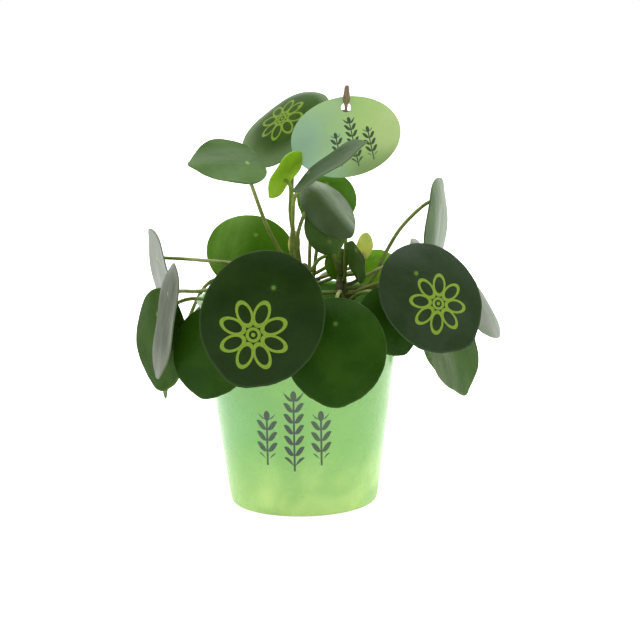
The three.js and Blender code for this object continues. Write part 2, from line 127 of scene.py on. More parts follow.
world = bpy.data.worlds.new("studio")
world.use_nodes = True
bpy.context.scene.world = world
tent = world.node_tree
tent.nodes.clear()
towards = add(tent, "TexCoord", out="Generated")
behind = ease(tent, axis(tent, towards, 1), -0.95, -0.05, 0.17, 1.5)
above = ease(tent, axis(tent, towards, 2), 0.25, 0.95, 0.0, 0.6)
light = add(tent, "Background", {"Color": (1, 1, 1, 1), "Strength": plus(tent, behind, above)})
white = add(tent, "Background", {"Color": (1, 1, 1, 1), "Strength": 1.0})
surface(tent, add(tent, "MixShader", {0: add(tent, "LightPath"), 1: light, 2: white}))



def new_material(name):
    material = bpy.data.materials.new(name)
    material.use_nodes = True
    material.node_tree.nodes.clear()
    return material, material.node_tree


floor_mesh = bpy.data.meshes.new("floor")
bm = bmesh.new()
bmesh.ops.create_grid(bm, x_segments=1, y_segments=1, size=FLOOR_HALF_WIDTH)
bm.to_mesh(floor_mesh)
bm.free()
floor = bpy.data.objects.new("floor", floor_mesh)
bpy.context.collection.objects.link(floor)
paper, tree = new_material("floor_paper")
lit = add(tree, "BsdfDiffuse", {"Color": (0.9, 0.9, 0.9, 1)})
shine = plus(tree, 0.3, times(tree, add(tree, "LightPath"), 0.3))
glow = add(tree, "Emission", {"Color": (1, 1, 1, 1), "Strength": shine})
surface(tree, add(tree, "AddShader", {0: lit, 1: glow}))
floor_mesh.materials.append(paper)


def soft_light(name, at, size, power):
    """A square soft box that faces the plant."""
    lamp = bpy.data.lights.new(name, "AREA")
    lamp.shape = "SQUARE"
    lamp.size = size
    lamp.energy = power
    box = bpy.data.objects.new(name, lamp)
    facing = (SOFT_BOX_AIM - Vector(at)).to_track_quat("-Z", "Y")
    box.matrix_world = Matrix.Translation(at) @ facing.to_matrix().to_4x4()
    bpy.context.collection.objects.link(box)


soft_light("soft_box_over", (0.2, 0.3, 1.6), 1.2, 8)


# ------------------------------------------------------------------ the pot
# A slip-cast earthenware pot: a tapered wall with a rounded foot and a rolled lip, dipped in a
# glossy pale green glaze that ran into soft blots, with a small sprig printed on its front. The
# base is bare clay, ground flat, with a shallow recess.

POT_HEIGHT = 136
POT_BASE_RADIUS = 48
POT_RIM_RADIUS = 66
POT_WALL = 4
POT_FLOOR = 5
POT_FOOT_ROUNDING = 3
POT_LIP_RADIUS = 2.6
POT_SIDES = 144
PRINT_AT = (-0.0057, 0.056)  # the middle of the pot's print, across and up, in metres


def finish_piece(name, bm, materials, slot, *nodes):
    """Makes the mesh an object that rides with the plant in place of its CAD nodes."""
    mesh = bpy.data.meshes.new(name)
    for face in bm.faces:
        face.smooth = True
    bm.to_mesh(mesh)
    bm.free()
    for material in materials:
        mesh.materials.append(material)
    piece = bpy.data.objects.new(name, mesh)
    bpy.context.collection.objects.link(piece)
    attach(piece, "root")
    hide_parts(*nodes)
    return piece


def turn_profile(bm, profile, sides):
    """Turns a profile of (radius, height) points in millimetres once around the Z axis."""
    points = [bm.verts.new((radius * MM, 0, z * MM)) for radius, z in profile]
    lines = [bm.edges.new(pair) for pair in zip(points, points[1:])]
    bmesh.ops.spin(bm, geom=points + lines, axis=(0, 0, 1), cent=(0, 0, 0), angle=math.tau,
                   steps=sides, use_merge=True)
    bmesh.ops.remove_doubles(bm, verts=bm.verts, dist=1e-6)
    bmesh.ops.recalc_face_normals(bm, faces=bm.faces)


def arc(centre, radius, start, end, pieces):
    """Points on an arc, its angles in degrees."""
    angles = [math.radians(start + (end - start) * i / pieces) for i in range(pieces + 1)]
    return [(centre[0] + radius * math.cos(a), centre[1] + radius * math.sin(a)) for a in angles]


def wall_radius(z):
    """The pot's inner radius at a height."""
    return POT_BASE_RADIUS + (POT_RIM_RADIUS - POT_BASE_RADIUS) * z / POT_HEIGHT - POT_WALL


pot_profile = [(0, 1.0), (38, 1.0), (39.2, 0.7), (40, 0.0), (42.5, 0.0)]  # the recess in the base
pot_profile += arc((POT_BASE_RADIUS - POT_FOOT_ROUNDING, POT_FOOT_ROUNDING), POT_FOOT_ROUNDING,
                   -90, -7.5, 6)
pot_profile += [(POT_WALL + wall_radius(z), z) for z in range(8, 131, 6)]
pot_profile += arc((POT_RIM_RADIUS - POT_LIP_RADIUS / 2, POT_HEIGHT - POT_LIP_RADIUS), POT_LIP_RADIUS,
                   -60, 200, 16)
pot_profile += [(wall_radius(z), z) for z in range(128, 9, -8)]
corner = POT_FLOOR + POT_FOOT_ROUNDING
pot_profile += arc((wall_radius(corner) - POT_FOOT_ROUNDING, corner), POT_FOOT_ROUNDING, 0, -90, 5)
pot_profile += [(20, POT_FLOOR), (0, POT_FLOOR)]

bm = bmesh.new()
turn_profile(bm, pot_profile, POT_SIDES)


def new_group(name, takes, gives):
    """A shader node group with its named inputs and outputs."""
    group = bpy.data.node_groups.new(name, "ShaderNodeTree")
    for socket, kind in takes:
        group.interface.new_socket(socket, in_out="INPUT", socket_type="NodeSocket" + kind)
    for socket in gives:
        group.interface.new_socket(socket, in_out="OUTPUT", socket_type="NodeSocketFloat")
    given = group.nodes.new("NodeGroupInput").outputs
    ends = group.nodes.new("NodeGroupOutput").inputs
    return group, given, ends


def use_group(tree, group, sockets):
    return place_node(tree, "Group", sockets, node_tree=group)


def minus(tree, first, second):
    return calc(tree, "SUBTRACT", first, second)


def noise(tree, place, scale, detail=2.0, roughness=0.5, distortion=0.0):
    return add(tree, "TexNoise", {"Vector": place, "Scale": scale, "Detail": detail,
                                  "Roughness": roughness, "Distortion": distortion})


# Colour that ran and dried in soft blots, on the glaze and on the card. Its scale is in blots
# per metre.
wash, given, ends = new_group("watercolour_wash", [("Vector", "Vector"), ("Scale", "Float")],
                              ["Blots", "Spots", "Tide"])
large = noise(wash, given["Vector"], given["Scale"], 2.0, 0.45, 0.9)
small = noise(wash, given["Vector"], times(wash, given["Scale"], 3.1), 4.0, 0.6, 0.4)
tide = calc(wash, "ABSOLUTE", minus(wash, large, 0.52))
wash.links.new(ease(wash, large, 0.36, 0.64), ends["Blots"])
wash.links.new(ease(wash, small, 0.35, 0.68), ends["Spots"])
wash.links.new(ease(wash, tide, 0.012, 0.0), ends["Tide"])

# Three leafy sprigs side by side, drawn in millimetres around their middle. The print on the pot
# and the smaller one on the card are the same.
sprigs, given, ends = new_group("sprig_print", [("Vector", "Vector")], ["Mask"])
across = calc(sprigs, "ABSOLUTE", axis(sprigs, given["Vector"]))
upwards = axis(sprigs, given["Vector"], 1)
outer = calc(sprigs, "GREATER_THAN", across, 8.5)
aside = calc(sprigs, "ABSOLUTE", minus(sprigs, across, times(sprigs, outer, 17.0)))
lift = plus(sprigs, upwards, times(sprigs, outer, 5.0))
reach = minus(sprigs, 25.0, times(sprigs, outer, 8.5))
along = calc(sprigs, "DIVIDE", aside, 0.74)
row = minus(sprigs, lift, times(sprigs, aside, 0.9))
off_row = times(sprigs, calc(sprigs, "PINGPONG", row, 3.6), 0.74)
middle = calc(sprigs, "POWER", calc(sprigs, "DIVIDE", minus(sprigs, along, 4.6), 4.2), 2.0)
half_width = times(sprigs, minus(sprigs, 1.0, middle), 1.75)
leaf_gap = minus(sprigs, half_width, off_row)
on_twig = ease(sprigs, calc(sprigs, "ABSOLUTE", row), minus(sprigs, reach, 3.0), minus(sprigs, reach, 3.6))
leaflet = times(sprigs, ease(sprigs, leaf_gap, -0.12, 0.12), on_twig)
twig = times(sprigs, ease(sprigs, aside, 0.75, 0.5),
             ease(sprigs, calc(sprigs, "ABSOLUTE", lift), reach, minus(sprigs, reach, 0.3)))
bud_up = calc(sprigs, "DIVIDE", minus(sprigs, lift, reach), 3.4)
bud = plus(sprigs, calc(sprigs, "POWER", bud_up, 2.0),
           calc(sprigs, "POWER", calc(sprigs, "DIVIDE", aside, 1.9), 2.0))
bud = ease(sprigs, bud, 1.06, 0.94)
both = calc(sprigs, "MAXIMUM", calc(sprigs, "MAXIMUM", leaflet, twig), bud)
sprigs.links.new(both, ends["Mask"])


def bump(tree, height, strength, distance):
    return add(tree, "Bump", {"Height": height, "Strength": strength, "Distance": distance})


def coat(tree, colour, roughness, normal, gloss=0.5):
    """An opaque skin. Its gloss is how strongly it mirrors light, half for most matter."""
    return add(tree, "BsdfPrincipled", {"Base Color": colour, "Roughness": roughness, "Normal": normal,
                                        "Specular IOR Level": gloss})


glaze, tree = new_material("pale_green_glaze")
place = add(tree, "TexCoord", out="Object")
axes = [axis(tree, place, i) for i in range(3)]
blots, spots, tide = use_group(tree, wash, {"Vector": place, "Scale": 17.0})
colour = blend(tree, blots, (0.172, 0.428, 0.080), (0.208, 0.466, 0.090))
minty = times(tree, ease(tree, axes[0], -0.012, -0.05),
              times(tree, ease(tree, axes[2], 0.02, 0.06), ease(tree, spots, 0.1, 0.9, 0.4, 1.0)))
colour = blend(tree, minty, colour, (0.160, 0.425, 0.125))
# Paler yellow-green towards the foot, in blots: painted light, the glow bounced up from the white floor.
low = times(tree, ease(tree, axes[2], 0.05, 0.004), ease(tree, blots, 0.0, 1.0, 0.5, 1.0))
colour = blend(tree, low, colour, (0.50, 0.74, 0.21))
colour = blend(tree, times(tree, tide, 0.08), colour, (0.18, 0.42, 0.12))
colour = blend(tree, times(tree, spots, 0.2), colour, (0.175, 0.43, 0.11))
print_place = add(tree, "CombineXYZ", {
    0: calc(tree, "DIVIDE", minus(tree, axes[0], PRINT_AT[0]), MM),
    1: calc(tree, "DIVIDE", minus(tree, axes[2], PRINT_AT[1]), MM)})
ink = times(tree, use_group(tree, sprigs, {"Vector": print_place})["Mask"],
            calc(tree, "LESS_THAN", axes[1], 0.0))
ink = times(tree, ink, ease(tree, spots, 0.0, 1.0, 0.98, 0.92))
colour = blend(tree, ink, colour, (0.006, 0.034, 0.008))
bare = ease(tree, axes[2], 0.0009, 0.0004)
colour = blend(tree, bare, colour, (0.62, 0.55, 0.45))
dips = noise(tree, place, 260.0, 1.0)
waves = noise(tree, place, 45.0, 0.0)
rough = plus(tree, ease(tree, spots, 0.0, 1.0, 0.24, 0.32), times(tree, bare, 0.6))
rise = plus(tree, times(tree, waves, 0.7), times(tree, dips, 0.02))
normal = bump(tree, rise, 0.12, 0.0008)
surface(tree, coat(tree, colour, rough, normal, 0.65))
finish_piece("pot_glazed", bm, [glaze], "pot_glaze", "pot")


# ------------------------------------------------------------------ the soil
# Peaty potting soil that fills the pot to about 14 mm below the rim, loose and crumbly on top,
# with bits of bark and fibre, and a little lower where it meets the wall.

SOIL_TOP = 122
SOIL_EDGE_DROP = 2
SOIL_CRUMBS = 520
CLEARANCE = 0.3  # between pieces that touch on the real plant


def soil_rise(x, y):
    """How far the soil stands above its mean level, in millimetres."""
    coarse = math.sin(x / 7.1 + 1.3) * math.cos(y / 6.3 - 0.4)
    fine = math.sin(x / 3.1 - y / 4.3) * 0.5
    return 1.6 * (coarse + fine)


low = POT_FLOOR + CLEARANCE
corner = low + POT_FOOT_ROUNDING
soil_edge = wall_radius(SOIL_TOP - SOIL_EDGE_DROP) - CLEARANCE
soil_profile = [(0, low), (wall_radius(low) - POT_FOOT_ROUNDING - CLEARANCE, low)]
soil_profile += [(wall_radius(z) - CLEARANCE, z) for z in (corner, *range(20, 120, 10))]
soil_profile += [(soil_edge, SOIL_TOP - SOIL_EDGE_DROP), (soil_edge - 1, SOIL_TOP - 1.2)]
soil_profile += [((soil_edge - 2) * i / 44, SOIL_TOP) for i in range(44, -1, -1)]
bm = bmesh.new()
turn_profile(bm, soil_profile, 180)
crumble = random.Random(4)
for point in bm.verts:
    x, y = point.co.x / MM, point.co.y / MM
    if point.co.z > (SOIL_TOP - 1.5) * MM:
        edge = min(1, max(0, (soil_edge - math.hypot(x, y)) / 4))
        grain = 0.9 * math.sin(x * 2.3 + 1.7 * math.sin(y * 1.9)) * math.sin(y * 2.1 + x)
        point.co.z += edge * (soil_rise(x, y) + grain + crumble.uniform(-0.5, 0.5)) * MM

for crumb in range(SOIL_CRUMBS):
    angle, reach = crumble.uniform(0, math.tau), (soil_edge - 2.5) * math.sqrt(crumble.random())
    x, y = reach * math.cos(angle), reach * math.sin(angle)
    size = crumble.choice((0.8, 1.0, 1.3, 1.9, 2.6)) * crumble.uniform(0.8, 1.2)
    stretch = Matrix.Diagonal((1, crumble.uniform(0.5, 1), crumble.uniform(0.4, 0.8), 1))
    spin = Matrix.Rotation(crumble.uniform(0, 3), 4, (crumble.random(), crumble.random(), 1))
    at = Matrix.Translation((x * MM, y * MM, (SOIL_TOP + soil_rise(x, y) + size * 0.15) * MM))
    lump = bmesh.ops.create_icosphere(bm, subdivisions=1, radius=size * MM, matrix=at @ spin @ stretch)
    for point in lump["verts"]:
        point.co += Vector([crumble.uniform(-0.18, 0.18) * size * MM for _ in range(3)])

earth, tree = new_material("potting_soil")
place = add(tree, "TexCoord", out="Object")
clods = noise(tree, place, 160.0, 6.0, 0.7)
cells = add(tree, "TexVoronoi", {"Vector": place, "Scale": 420.0}, out="Color")
colour = blend(tree, ease(tree, clods, 0.3, 0.7), (0.012, 0.007, 0.004), (0.050, 0.029, 0.017))
pale = ease(tree, add(tree, "SeparateColor", {0: cells}), 0.86, 0.93)
colour = blend(tree, pale, colour, (0.16, 0.095, 0.05))
fibre = noise(tree, add(tree, "Mapping", {"Vector": place, "Scale": (1, 9, 1)}), 90.0, 3.0)
colour = blend(tree, ease(tree, fibre, 0.66, 0.72), colour, (0.11, 0.07, 0.035))
normal = bump(tree, clods, 0.8, 0.0012)
surface(tree, coat(tree, colour, ease(tree, clods, 0.3, 0.7, 0.98, 0.75), normal, 0.25))
finish_piece("soil_filled", bm, [earth], "soil", "soil")


# ------------------------------------------------------------------ the stems
# Three short woody stems, brown and corky, that the leaf stalks grow from. Each is ringed by the
# scars of the leaves that it has dropped, and ends in a small green growing tip. STEMS gives
# where each stands, how high it reaches and its radius at the soil and at its tip.

STEMS = {
    "stem_main": ((27, 0), 166, 4.4, 2.2),
    "stem_left": ((3, 6), 156, 3.8, 2.2),
    "stem_back": ((4, 34), 150, 3.8, 2.4),
}
STEM_SUNK = 20
STEM_STEPS = 66
SCAR_SPACING = 5.2


def stem_radius(stem, z):
    """A stem's radius at a height, in millimetres."""
    _, top, base_radius, tip_radius = STEMS[stem]
    share = min(1, max(0, (z - SOIL_TOP) / (top - SOIL_TOP)))
    return base_radius + (tip_radius - base_radius) * share


# Grain that runs along a piece of wood, on the stems and on the pick.
grain, given, ends = new_group("long_grain", [("Vector", "Vector"), ("Scale", "Float")],
                               ["Streaks", "Pores"])
drawn = add(grain, "Mapping", {"Vector": given["Vector"], "Scale": (1, 1, 0.09)})
streaks = noise(grain, drawn, given["Scale"], 4.0, 0.65)
pores = noise(grain, drawn, times(grain, given["Scale"], 3.7))
grain.links.new(ease(grain, streaks, 0.3, 0.7), ends["Streaks"])
grain.links.new(ease(grain, pores, 0.55, 0.7), ends["Pores"])

bark, tree = new_material("corky_bark")
place = add(tree, "TexCoord", out="Object")
streaks, pores = use_group(tree, grain, {"Vector": place, "Scale": 700.0})
level = axis(tree, place, 2)
rings = noise(tree, add(tree, "Mapping", {"Vector": place, "Scale": (0.3, 0.3, 1)}), 420.0, 3.0)
colour = blend(tree, streaks, (0.085, 0.085, 0.028), (0.20, 0.205, 0.085))
colour = blend(tree, ease(tree, rings, 0.55, 0.7), colour, (0.25, 0.25, 0.12))
colour = blend(tree, times(tree, pores, 0.6), colour, (0.03, 0.018, 0.009))
colour = blend(tree, ease(tree, level, 0.146, 0.163), colour, (0.13, 0.2, 0.045))
rise = plus(tree, streaks, times(tree, rings, 1.4))
normal = bump(tree, rise, 0.7, 0.0005)
surface(tree, coat(tree, colour, ease(tree, streaks, 0.0, 1.0, 0.9, 0.7), normal, 0.3))

for stem, (foot, top, base_radius, tip_radius) in STEMS.items():
    low = SOIL_TOP - STEM_SUNK
    profile = [(0, low), (base_radius * 0.7, low)]
    for step in range(1, STEM_STEPS):
        z = low + (top - 1.2 - low) * step / STEM_STEPS
        scar = math.exp(-((z % SCAR_SPACING - SCAR_SPACING / 2) / 0.42) ** 2)
        profile.append((stem_radius(stem, z) - 0.42 * scar + 0.16 * math.sin(z * 1.7), z))
    profile += [(tip_radius * 0.82, top - 0.9), (tip_radius * 0.5, top - 0.25), (0, top)]
    bm = bmesh.new()
    turn_profile(bm, profile, 28)
    for point in bm.verts:
        around = math.atan2(point.co.y, point.co.x)
        knob = 1 + 0.05 * math.sin(3 * around + point.co.z / MM * 0.6) + 0.03 * math.sin(7 * around)
        point.co.x *= knob
        point.co.y *= knob
    bmesh.ops.translate(bm, verts=bm.verts, vec=(foot[0] * MM, foot[1] * MM, 0))
    finish_piece(stem + "_grown", bm, [bark], "bark", stem)


# ------------------------------------------------------------------ the leaves in front
# The large old leaves that hang over the pot's front. A leaf is a fleshy round blade that its
# stalk meets from behind, about a quarter of its length in, where a pale dot and the veins that
# spread from it show. The blade is built with its stalk, and grows straight out of a stem.

BLADE_RINGS = (0, 0.05, 0.11, 0.19, 0.28, 0.38, 0.48, 0.58, 0.67, 0.75, 0.82, 0.88, 0.93, 0.967, 0.99, 1)
BLADE_SIDES = 96
BLADE_THICKNESS = 0.9
STALK_RADIUS = 1.15


def blade_directions(turn, tilt, roll):
    """Out of the blade's upper face, towards its tip and across it."""
    turn, tilt, roll = math.radians(turn), math.radians(tilt), math.radians(roll)
    out = Vector((math.sin(turn) * math.cos(tilt), -math.cos(turn) * math.cos(tilt), math.sin(tilt)))
    right = Vector((0, 0, 1)).cross(out).normalized()
    down = right.cross(out)
    tip = down * math.cos(roll) + right * math.sin(roll)
    return out, tip, out.cross(tip)


def smooth_path(points, pieces):
    """Points along a centripetal curve through the given ones."""
    points = [points[0] * 2 - points[1], *points, points[-1] * 2 - points[-2]]
    path = []
    for a, b, c, d in zip(points, points[1:], points[2:], points[3:]):
        t1 = (b - a).length ** 0.5
        t2 = t1 + (c - b).length ** 0.5
        t3 = t2 + (d - c).length ** 0.5
        for piece in range(pieces):
            t = t1 + (t2 - t1) * piece / pieces
            ab, bc = a.lerp(b, t / t1), b.lerp(c, (t - t1) / (t2 - t1))
            cd = c.lerp(d, (t - t2) / (t3 - t2))
            abc, bcd = ab.lerp(bc, t / t2), bc.lerp(cd, (t - t1) / (t3 - t1))
            path.append(abc.lerp(bcd, (t - t1) / (t2 - t1)))
    return path + [points[-2]]


def draw_tube(bm, path, radii, sides):
    """A closed round tube along a path in millimetres, and the rings of points that it has."""
    rings, before, facing = [], None, None
    for i, (point, radius) in enumerate(zip(path, radii)):
        heading = (path[min(i + 1, len(path) - 1)] - path[max(i - 1, 0)]).normalized()
        if facing is None:
            facing = heading.to_track_quat("Z", "Y")
        else:
            facing = before_heading.rotation_difference(heading) @ facing
        before_heading = heading
        stand = (Matrix.Translation(point * MM) @ facing.to_matrix().to_4x4()
                 @ Matrix.Scale(radius * MM, 4))
        if not rings:
            ring = bmesh.ops.create_circle(bm, cap_ends=True, segments=sides, radius=1,
                                           matrix=stand)["verts"]
            lines = list({line for vert in ring for line in vert.link_edges})
        else:
            made = bmesh.ops.extrude_edge_only(bm, edges=lines)["geom"]
            ring = [part for part in made if isinstance(part, bmesh.types.BMVert)]
            lines = [part for part in made if isinstance(part, bmesh.types.BMEdge)
                     and all(vert in ring for vert in part.verts)]
            bmesh.ops.transform(bm, matrix=stand @ before.inverted(), verts=ring)
        rings.append(ring)
        before = stand
    bmesh.ops.contextual_create(bm, geom=lines)
    return rings


def grow_leaf(name, stem, height, via, at, turn, tilt, roll, length, width, skin, dome=3, droop=2,
              fold=0, point=0.06, taper=0, ripple=0.6, ripples=5, arrive=25, approach=6, print_at=None):
    """A leaf, blade and stalk. Lengths are millimetres and angles degrees, as in the part."""
    out, tip, across = blade_directions(turn, tilt, roll)
    at = Vector(at)
    bm = bmesh.new()
    reach_layer = bm.verts.layers.float_vector.new("reach")

    spoke = [bm.verts.new((share, 0, 0)) for share in BLADE_RINGS]
    lines = [bm.edges.new(pair) for pair in zip(spoke, spoke[1:])]
    bmesh.ops.spin(bm, geom=spoke + lines, axis=(0, 0, 1), cent=(0, 0, 0), angle=math.tau,
                   steps=BLADE_SIDES, use_merge=True)
    bmesh.ops.remove_doubles(bm, verts=bm.verts, dist=1e-5)
    for vert in bm.verts:
        share = vert.co.length
        angle = math.atan2(vert.co.y, vert.co.x)
        waves = 0.0025 * math.sin(17 * angle + length) + 0.0015 * math.sin(41 * angle + width)
        scallop = 1 + share ** 6 * waves
        tapering = 1 - taper * math.exp(-(angle / 0.9) ** 2)
        pointed = 1 + point * math.exp(-(angle / 0.3) ** 2)
        u = share * scallop * length * (0.235 + 0.485 * math.cos(angle) * pointed)
        v = share * scallop * width / 2 * math.sin(angle) * tapering
        vert[reach_layer] = (v, u, share)
        sag = dome * share ** 2 + droop * (max(u, 0) / length) ** 2
        sag += fold * (abs(v) / (width / 2)) ** 1.5
        sag += ripple * share ** 3 * math.sin(ripples * angle + length)
        vert.co = (at + tip * u + across * v + out * (BLADE_THICKNESS / 2 - sag)) * MM
    upper = list(bm.faces)
    made = bmesh.ops.extrude_face_region(bm, geom=upper, use_keep_orig=True)["geom"]
    under = [part for part in made if isinstance(part, bmesh.types.BMVert)]
    bmesh.ops.translate(bm, verts=under, vec=out * -BLADE_THICKNESS * MM)
    below = set(under)
    for face in bm.faces:
        face.material_index = int(all(vert in below for vert in face.verts))
    bmesh.ops.recalc_face_normals(bm, faces=bm.faces)
    rim = [line for line in bm.edges if len(line.link_faces) == 2
           and all(vert[reach_layer].z > 0.9999 for vert in line.verts)
           and abs(line.link_faces[0].normal.dot(line.link_faces[1].normal)) < 0.5]
    bmesh.ops.bevel(bm, geom=rim, offset=BLADE_THICKNESS * 0.3 * MM, segments=2, profile=0.5,
                    affect="EDGES", material=-1)

    behind = out * -math.cos(math.radians(arrive)) - tip * math.sin(math.radians(arrive))
    end = at - out * STALK_RADIUS * math.sin(math.radians(arrive))
    close = end + behind * min(approach, length * 0.12)
    via = [Vector(stop) for stop in via]
    foot = Vector((*STEMS[stem][0], height))
    heading = ((via + [close])[0] - foot).normalized()
    side = Vector((heading.x, heading.y, 0)).normalized()
    start = foot + side * (stem_radius(stem, height) + CLEARANCE + STALK_RADIUS * abs(heading.z))
    path = smooth_path([foot + side * 0.6, start, *via, close, end], 8)
    radii = []
    for i in range(len(path)):
        share = i / (len(path) - 1)
        swelling = 0.55 * math.exp(-(share / 0.06) ** 2) + 0.25 * math.exp(-((1 - share) / 0.02) ** 2)
        radii.append(STALK_RADIUS * (1.12 - 0.08 * share) + swelling)
    for here, ring in enumerate(draw_tube(bm, path, radii, 12)):
        for vert in ring:
            vert[reach_layer] = (0, 0, -1 - here / (len(path) - 1))

    spread = bm.loops.layers.uv.new("blade")
    ring_map = bm.loops.layers.uv.new("ring")
    print_map = bm.loops.layers.uv.new("print") if print_at else None
    for face in bm.faces:
        stalk = any(loop.vert[reach_layer].z < 0 for loop in face.loops)
        if stalk:
            face.material_index = 2
        for loop in face.loops:
            v, u, share = loop.vert[reach_layer]
            loop[spread].uv = (0.5 + v / 100, 0.5 + u / 100)
            loop[ring_map].uv = (-1 - share if stalk else share, 0)
            if print_at:
                loop[print_map].uv = (0.5 + (v - print_at[0]) / print_at[2] / 4,
                                      0.5 + (u - print_at[1]) / print_at[2] / 4)
    slot = "young_leaf" if young_under in skin else "grown_leaf"
    return finish_piece(name + "_grown", bm, skin, slot, name)


# The veins that spread from the pale dot where the stalk meets the blade, a fine net between
# them, and the thin pale rim. Blade is in millimetres, across and towards the tip.
veins, given, ends = new_group("leaf_veins", [("Blade", "Vector"), ("Ring", "Float")],
                               ["Veins", "Net", "Dot", "Rim", "Relief"])
v = axis(veins, given["Blade"])
u = axis(veins, given["Blade"], 1)
reach = add(veins, "VectorMath", {0: given["Blade"]}, out="Value", operation="LENGTH")
sway = noise(veins, given["Blade"], 0.06, 1.0)
sway = times(veins, minus(veins, sway, 0.5), 0.5)
angle = plus(veins, calc(veins, "ARCTAN2", v, u), sway)
arched = times(veins, calc(veins, "SINE", angle), times(veins, reach, 0.006))
angle = plus(veins, angle, arched)
off_vein = times(veins, calc(veins, "PINGPONG", angle, math.pi / 9), reach)
vein = times(veins, ease(veins, off_vein, 0.9, 0.0), ease(veins, given["Ring"], 1.0, 0.35))
cells = add(veins, "TexVoronoi", {"Vector": given["Blade"], "Scale": 0.28}, feature="DISTANCE_TO_EDGE")
net = times(veins, ease(veins, cells, 0.09, 0.0), ease(veins, reach, 4.0, 14.0))
rays = times(veins, ease(veins, off_vein, 0.5, 0.0), ease(veins, reach, 3.2, 1.0, 0.0, 0.3))
dot = calc(veins, "MAXIMUM", ease(veins, reach, 1.9, 0.7, 0.0, 0.85), rays)
pillow = noise(veins, given["Blade"], 0.16)
relief = minus(veins, times(veins, pillow, 0.8),
               plus(veins, times(veins, vein, 0.2), times(veins, net, 0.06)))
for value, socket in zip((vein, net, dot, ease(veins, given["Ring"], 0.965, 0.995), relief), ends):
    veins.links.new(value, socket)

# Painted sheen: silvery lengthwise streaks of glancing light, in a band at a distance across a blade.
painted_sheen, given, ends = new_group("leaf_painted_sheen", [("Blade", "Vector"), ("Across", "Float"), ("Half", "Float")],
                               ["Mask"])
away = minus(painted_sheen, axis(painted_sheen, given["Blade"]), given["Across"])
away = calc(painted_sheen, "ABSOLUTE", away)
band = ease(painted_sheen, away, given["Half"], times(painted_sheen, given["Half"], 0.3))
drawn = add(painted_sheen, "Mapping", {"Vector": given["Blade"], "Scale": (1, 0.13, 1)})
streaks = noise(painted_sheen, drawn, 0.2, 3.0, 0.6)
painted_sheen.links.new(times(painted_sheen, band, ease(painted_sheen, streaks, 0.3, 0.7, 0.4, 1.0)), ends["Mask"])

# A simple daisy drawn in lines: eight petals around a ring and a dot. Its reach is one unit.
daisy, given, ends = new_group("daisy_print", [("Vector", "Vector")], ["Mask"])
x = axis(daisy, given["Vector"])
y = axis(daisy, given["Vector"], 1)
reach = add(daisy, "VectorMath", {0: given["Vector"]}, out="Value", operation="LENGTH")
petal_angle = calc(daisy, "PINGPONG", calc(daisy, "ARCTAN2", x, y), math.pi / 8)
along = times(daisy, reach, calc(daisy, "COSINE", petal_angle))
along = calc(daisy, "DIVIDE", minus(daisy, along, 0.63), 0.34)
aside = calc(daisy, "DIVIDE", times(daisy, reach, calc(daisy, "SINE", petal_angle)), 0.2)
oval = plus(daisy, calc(daisy, "POWER", along, 2.0), times(daisy, aside, aside))
oval = calc(daisy, "SQRT", oval)
petal = ease(daisy, calc(daisy, "ABSOLUTE", minus(daisy, oval, 1.0)), 0.21, 0.15)
ring = ease(daisy, calc(daisy, "ABSOLUTE", minus(daisy, reach, 0.17)), 0.055, 0.035)
drawn = calc(daisy, "MAXIMUM", calc(daisy, "MAXIMUM", petal, ring), ease(daisy, reach, 0.07, 0.05))
daisy.links.new(drawn, ends["Mask"])


